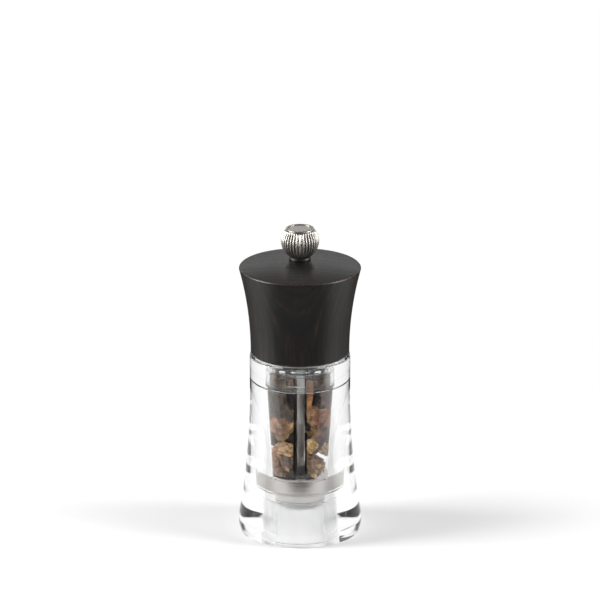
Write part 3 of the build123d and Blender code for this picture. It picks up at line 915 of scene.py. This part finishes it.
def dome(rise, outer, top, inner, steps=16):
    """Points down a shallow dome from an outer radius in to an inner radius."""
    ball = (outer**2 + rise**2) / (2 * rise)
    points = []
    for step in range(steps + 1):
        radius = outer + (inner - outer) * step / steps
        points.append((radius, top - ball + math.sqrt(ball**2 - radius**2)))
    return points


side_foot = (head_bottom, head_foot + heel_cut)
side_top = (head_radius, head_apex - dome_rise - edge_cut)
head_outline = (
    [(recess, recess_top), (recess, head_foot), (head_bottom - heel_cut, head_foot), side_foot]
    + flare(side_foot, side_top, 40)
    + dome(dome_rise, head_radius - edge_cut, head_apex, counterbore)
    + [(counterbore, ferrule_seat), (bore, ferrule_seat), (bore, recess_top)]
)
bm = turned(head_outline, rounding=0.3, steps=256)
hand_over("wood_head_turned", bm, "head", "stained_wood", wood.material, ["wood_head"], crisp=50)

# %% [markdown]
# ## Glide ring and collar
# A white ring between body and head lets the head turn without squeaking, and a black collar keeps the knob
# off the wood. Both are plain moulded rings; only their rounded edges are ever seen.

# %% Glide ring and collar
glide_radius, glide_foot, glide_top = span("glide_ring")
bm = turned(plain_ring(15.9, glide_radius, glide_foot, glide_top), 0.1)
hand_over("glide_ring_moulded", bm, "glide_ring", "white_plastic", white_plastic.material, ["glide_ring"])
collar_radius, collar_foot, collar_top = span("knob_washer")
bm = turned(plain_ring(2.25, collar_radius, collar_foot, collar_top), rounding=0.25, steps=96)
hand_over("knob_collar", bm, "knob_washer", "black_plastic", black_plastic.material, ["knob_washer"])

# %% [markdown]
# ## Knob
# The knob is a squashed ball of cast metal with round flutes from foot to lip. Its radius is pulled in by the
# absolute value of a cosine, a wave with cusps, so the ridges are round and the valleys sharp. The flutes
# fade out just under the lip and at the foot. It is plated warm nickel, and its colour is darker in the
# valleys as a painted shade, so the finish reads the flute's depth from an attribute.

# %% Nickel with painted shade in the valleys
nickel = Finish("knob_metal", Base_Color=(0.48, 0.46, 0.42, 1), Metallic=1.0, Roughness=0.26)
valley = nickel.node("ShaderNodeAttribute", {"attribute_name": "valley"}, output="Fac")
patina = nickel.noise(420, 3, 0.6)
# Painted shade: the colour turns near black in the flute valleys, read from the valley attribute; the noise
# adds a little random patina.
valley_shade_and_patina = (nickel.between(valley, 0.45, 1.0) * 0.75 + (patina - 0.5) * 0.12).clamped()
nickel.feed("Base Color", nickel.blend(valley_shade_and_patina, (0.42, 0.405, 0.37), (0.075, 0.068, 0.058)))
nickel.feed("Roughness", (0.41 + valley_shade_and_patina * 0.15 + (patina - 0.5) * 0.06).clamped())
nickel.bump(patina, 0.004, 0.1)
print("finish: antique nickel, dark in the valleys")

# %% Knob
knob_radius, knob_foot, knob_top = span("knob_shell")
flutes = 36
flute_depth = 0.50
waist_ring = (knob_radius, knob_foot + 7.2)
lip = 6.2
disc_radius, disc_foot, disc_top = span("knob_cap")
disc_seat, disc_bore = disc_foot - 0.05, 5.2
core_bore, core_top = 3.45, disc_foot - 1.3
foot_radius_of_knob = 4.4
lower = list(reversed(flare(waist_ring, (foot_radius_of_knob, knob_foot), 26)))
upper = flare(waist_ring, (lip + 0.1, knob_top - 0.75), 26)
knob_outline = (
    [(0, core_top), (core_bore, core_top), (core_bore, knob_foot)] + lower + [waist_ring] + upper
    + [(lip - 0.35, knob_top - 0.62), (lip - 0.3, knob_top - 0.45), (lip, knob_top - 0.3),
       (lip, knob_top - 0.12), (lip - 0.2, knob_top), (disc_bore, knob_top), (disc_bore, disc_seat),
       (0, disc_seat)]
)
bm = turned(knob_outline, steps=flutes * 12)

# %% Flutes
valley_depth = bm.verts.layers.float.new("valley")
for vertex in bm.verts:
    radius, height, turn = polar(vertex.co)
    under_lip = max(0.0, (knob_top - 0.8 - height) / 1.1)
    over_foot = max(0.0, (height - knob_foot + 0.5) / 1.2)
    share = min(1.0, under_lip, over_foot)
    inside_lip = radius < lip - 0.5 and height > knob_foot + 4
    if inside_lip or radius < foot_radius_of_knob - 0.2:
        continue
    deep = 1 - abs(math.cos(flutes * turn / 2))
    vertex.co.xy *= (radius - flute_depth * deep * share) / radius
    vertex[valley_depth] = deep * share
hand_over("knob_fluted", bm, "knob", "knob_steel", nickel.material, ["knob_shell"], crisp=60, even=False)

# %% Disc in the knob
bm = turned(plain_ring(0, disc_radius, disc_foot, disc_top), 0.08, 128)
disc_metal = turned_metal("bare_disc", (0.42, 0.41, 0.37), 0.38, 6.0, 0.01)
hand_over("knob_disc", bm, "knob", "knob_steel", disc_metal.material, ["knob_cap"])

# %% [markdown]
# ## The spice
# The chamber is filled with torn, dried pieces: leathery skins, folded fruit, husks and bits of twig, from
# nearly black to golden. One lump with a busy texture would cast no shadows, so each piece is an icosphere,
# squared off a little, stretched, and crumpled by folded noise: where a smooth noise crosses zero, its
# absolute value makes a sharp crease. A vertex colour keeps the piece's own colour, with painted shade in the
# creases and a second colour at the rim, which is a painted highlight where it is lighter. The finish adds
# the fine mottling. Every vertex is kept off the wall and the shaft.

# %% Room for the spice
SPICE_LOW, SPICE_HIGH = 28.6, 75.4
WALL_GAP = 0.35
SHAFT_GAP, BOSS_GAP = 2.95, 3.95
SHAFT_VIEW = 2.7
SUNK = 0.42


def chamber(height):
    """Radius of the room at a height: the tapered chamber, then the insert's skirt."""
    if height > throat[1] - 0.6:
        return insert_inner
    share = max(0.0, (height - seat_top) / (throat[1] - seat_top))
    return seat_bore + (throat[0] - seat_bore) * share


def keep_inside(vertex, side):
    """Hold a vertex off the wall, the shaft and the grinder, and keep the view of the shaft clear."""
    x, y, z = vertex.co / MM
    z = min(max(z, SPICE_LOW), SPICE_HIGH)
    if y < 1 and abs(x) < SHAFT_VIEW:
        x = math.copysign(SHAFT_VIEW, side)
    radius = math.hypot(x, y)
    most = chamber(z) - WALL_GAP
    least = BOSS_GAP if z > boss_foot - 0.3 else SHAFT_GAP
    if radius > most:
        x, y = x * most / radius, y * most / radius
    elif 0 < radius < least:
        x, y = x * least / radius, y * least / radius
    vertex.co = Vector((x, y, z)) * MM


def reach_of(height, deep):
    """How far from the axis a piece of some depth stands when it leans on the wall."""
    return chamber(height) - WALL_GAP - deep * SUNK


# %% Crumple and colour
SHADES = {
    "slate": (0.085, 0.066, 0.058), "plum": (0.125, 0.078, 0.068), "red": (0.330, 0.140, 0.085),
    "raisin": (0.300, 0.165, 0.095), "gold": (0.640, 0.440, 0.190), "tan": (0.480, 0.310, 0.170),
    "rust": (0.400, 0.180, 0.070), "dark": (0.030, 0.020, 0.016), "umber": (0.220, 0.135, 0.080),
    "pale": (0.620, 0.500, 0.330),
}


def folded(at):
    """Noise folded at zero: 0 in a crease, 1 away from it."""
    return min(1.0, abs(noise.noise(at)) / 0.30)


def crumpled(vertex, stretch, offset, crumple, colour, rim):
    """Move a vertex of a unit ball to its place on the crumpled piece, and return its colour there."""
    out = vertex.co.normalized()
    at = Vector(part * whole / max(stretch) for part, whole in zip(vertex.co, stretch)) * 2.4 + offset
    slow = noise.noise(at * 0.9)
    warp = Vector((noise.noise(at + offset), noise.noise(at - offset), 0)) * 0.6
    fold = folded(at * 1.5 + warp)
    fine_fold = folded(at * 4.2 + warp)
    square = 1 / max(abs(out.x), abs(out.z), 0.72) ** 0.45
    relief = 0.26 * (fold - 0.6) + 0.10 * (fine_fold - 0.6) + 0.05 * noise.noise(at * 9.0)
    swell = square * (1 + 0.40 * slow + crumple * relief)
    vertex.co = Vector(part * whole for part, whole in zip(vertex.co * swell, stretch)) * MM
    patch = 0.5 + 0.5 * noise.noise(at * 2.2 + Vector((9, 4, 1)))
    # The rim blends in the piece's edge colour. Where that colour is lighter, it is a painted highlight along
    # the rim.
    edge = min(1.0, max(0.0, (math.hypot(out.x, out.z) - 0.74) * 4.5)) * min(1.0, 0.3 + patch)
    # Painted shade: the colour is darkened in the creases of the folds.
    crease_shade = 1 - 0.55 * crumple * (1 - fold) - 0.30 * crumple * (1 - fine_fold)
    return (*colour.lerp(rim, edge) * max(0.12, crease_shade) * (0.72 + 0.6 * patch), 1)


# %% One dried piece
def dried_piece(place, size, tilt, shade, seed, crumple=1.0, fine=4, edge_shade=None):
    """A crumpled piece: place and size in mm, with size as across, deep and tall; tilt in degrees."""
    bm = bmesh.new()
    bmesh.ops.create_icosphere(bm, subdivisions=fine, radius=0.5)
    tint = bm.verts.layers.float_color.new("tint")
    offset = Vector((seed * 3.17, seed * 1.31, seed * 2.23))
    colour, rim = Vector(SHADES[shade]), Vector(SHADES[edge_shade or shade])
    for vertex in bm.verts:
        vertex[tint] = crumpled(vertex, Vector(size), offset, crumple, colour, rim)
    turn = math.atan2(place[0], -place[1])
    for angle, axis in ((math.radians(tilt), "Y"), (turn, "Z")):
        bmesh.ops.rotate(bm, cent=(0, 0, 0), matrix=Matrix.Rotation(angle, 3, axis), verts=bm.verts)
    bmesh.ops.translate(bm, vec=Vector(place) * MM, verts=bm.verts)
    for vertex in bm.verts:
        keep_inside(vertex, place[0])
    return bm


def heap():
    """An empty bmesh that can take tinted pieces."""
    bm = bmesh.new()
    bm.verts.layers.float_color.new("tint")
    return bm


def against_wall(across, height, deep):
    """The place of a piece that leans on the front wall, from its x and z."""
    most = reach_of(height, deep)
    across = max(-most + 0.5, min(most - 0.5, across))
    return (across, -math.sqrt(most**2 - across**2), height)


def round_axis(azimuth, reach, level):
    """The place at an azimuth in degrees, a distance from the axis and a height."""
    return (reach * math.sin(math.radians(azimuth)), -reach * math.cos(math.radians(azimuth)), level)


# %% Pieces that show in front
FRONT_PIECES = [
    # across, height, (wide, deep, tall), tilt, shade, edge shade, crumple
    (-8.4, 63.0, (11.5, 3.6, 17.0), -10, "slate", "slate", 0.35),
    (-11.0, 72.4, (6.5, 5.0, 6.5), 10, "tan", "rust", 0.7),
    (-5.6, 72.4, (7.0, 4.0, 6.5), -20, "umber", "raisin", 0.7),
    (10.4, 64.6, (12.5, 5.0, 10.0), -6, "plum", "slate", 0.8),
    (9.6, 72.3, (10.5, 5.0, 7.0), 10, "raisin", "umber", 0.7),
    (3.6, 67.2, (2.8, 2.6, 15.5), 2, "rust", "tan", 0.5),
    (12.6, 61.6, (4.2, 1.6, 3.2), 30, "gold", "umber", 1.2),
    (8.0, 54.6, (12.5, 6.0, 10.5), 24, "red", "tan", 0.9),
    (-7.0, 52.0, (8.8, 6.0, 13.6), 38, "raisin", "gold", 1.0),
    (-12.6, 55.6, (3.6, 4.0, 11.0), 6, "plum", "raisin", 0.8),
    (4.4, 43.8, (4.6, 2.2, 6.6), 32, "gold", "pale", 0.8),
    (-5.6, 42.0, (9.0, 4.0, 5.4), 6, "tan", "gold", 1.0),
    (7.6, 46.2, (5.2, 4.4, 17.0), 36, "plum", "raisin", 0.7),
    (12.8, 49.8, (3.4, 4.4, 8.0), 0, "tan", "umber", 0.8),
    (10.8, 39.4, (6.4, 6.4, 5.6), 10, "tan", "pale", 0.9),
    (12.6, 44.6, (3.4, 3.0, 4.5), 0, "umber", "plum", 0.9),
    (4.0, 34.6, (4.6, 4.0, 8.5), 4, "umber", "raisin", 0.9),
    (6.6, 33.2, (4.4, 4.0, 8.0), 10, "tan", "umber", 1.1),
    (5.2, 29.6, (2.2, 1.6, 3.2), -8, "gold", "rust", 0.6),
    (-9.4, 35.0, (4.8, 4.4, 10.0), -8, "rust", "umber", 0.9),
    (-4.2, 36.0, (5.4, 4.0, 6.4), 12, "plum", "slate", 0.8),
    (-7.4, 29.8, (5.5, 3.4, 2.6), 14, "umber", "rust", 1.0),
    (-3.6, 30.6, (4.4, 3.0, 4.6), 0, "dark", "slate", 0.5),
    (-11.2, 44.0, (3.6, 4.0, 7.5), 4, "umber", "plum", 0.9),
    (-6.8, 36.4, (1.5, 1.2, 11.4), -34, "rust", "gold", 0.4),
    (-10.8, 33.6, (1.5, 1.4, 3.2), -6, "pale", "gold", 0.3),
]

front = heap()
for seed, (across, height, size, tilt, shade, rim, crumple) in enumerate(FRONT_PIECES, 1):
    place = against_wall(across, height, size[1])
    merge(front, dried_piece(place, size, tilt, shade, seed, crumple, edge_shade=rim))
print(f"{len(FRONT_PIECES)} pieces in front, {len(front.faces)} faces")

# %% Dried skin
dried = Finish("dried_spice", Base_Color=(0.1, 0.05, 0.03, 1), Roughness=0.6, IOR=1.45)
tint = dried.node("ShaderNodeAttribute", {"attribute_name": "tint"}, output="Color")
mottle = dried.noise(420, 5, 0.62)
fleck = dried.noise(2600, 3, 0.6)
mottling = dried.blend(dried.between(mottle, 0.35, 0.65), (0.62, 0.59, 0.57), (1.40, 1.34, 1.22))
skin = dried.blend(1.0, tint, mottling, "MULTIPLY")
pale = dried.between(fleck, 0.60, 0.72) * dried.between(mottle, 0.45, 0.7)
dried.feed("Base Color", dried.blend(pale * 0.22, skin, (0.50, 0.38, 0.22)))
dried.feed("Roughness", (0.42 + mottle * 0.4).clamped())
dried.bump(mottle * 0.8 + fleck * 0.2, 0.5, 0.8)
loose = {"body": "mill_body", "slot": "spice", "material": dried.material, "crisp": 180, "even": False}
hand_over("spice_front_pieces", front, stands_for=["spice_charge"], **loose)

# %% [markdown]
# The rest of the filling is strewn at random, from one seed, so it is the same every time: rows of pieces
# that lean on the wall at the sides and back, and smaller dark ones behind, whose dark colours are painted
# shade deep in the filling. A gap is left low on the right.

# %% Pieces round the sides and back
draw = random.Random(7)
BROWNS = ["slate", "plum", "red", "raisin", "tan", "rust", "umber", "umber", "plum", "gold"]
ROWS, PER_ROW = 6, 6
FIRST_AZIMUTH, LAST_AZIMUTH = 82, 278
sides = heap()
count = 0
for row in range(ROWS):
    for step in range(PER_ROW):
        azimuth = FIRST_AZIMUTH + step * 39 + draw.uniform(-10, 10) + row * 7 % 20
        size = (draw.uniform(6.5, 10.5), draw.uniform(4.0, 6.0), draw.uniform(7.5, 11.5))
        if azimuth > LAST_AZIMUTH:
            continue
        level = 31.5 + row * 7.6 + draw.uniform(-2, 2)
        place = round_axis(azimuth, reach_of(level, size[1]), level)
        shade, rim = draw.choice(BROWNS), draw.choice(BROWNS)
        if level < 41 and place[0] > 7:
            continue
        tilt, crumple = draw.uniform(-60, 60), draw.uniform(0.7, 1.3)
        merge(sides, dried_piece(place, size, tilt, shade, 40 + count, crumple, fine=3, edge_shade=rim))
        count += 1
hand_over("spice_side_pieces", sides, **loose)

# %% Pieces inside
# Painted shade: the inner pieces take only dark colours, for the shade between and behind the front pieces.
INNER_SHADE_COLOURS = ["dark", "slate", "plum", "umber", "dark"]
inner = heap()
for index in range(64):
    level = draw.uniform(30, 69)
    place = round_axis(draw.uniform(22, 338), draw.uniform(5.6, 8.2), level)
    before_shaft = place[1] < 1 and abs(place[0]) < 4.5
    in_gap = level < 37 and place[0] > 6
    if before_shaft or in_gap:
        continue
    size = (draw.uniform(5, 8), draw.uniform(4, 6), draw.uniform(5, 8))
    shade = draw.choice(INNER_SHADE_COLOURS)
    merge(inner, dried_piece(place, size, draw.uniform(-80, 80), shade, 100 + index, fine=2))
hand_over("spice_inner_pieces", inner, **loose)
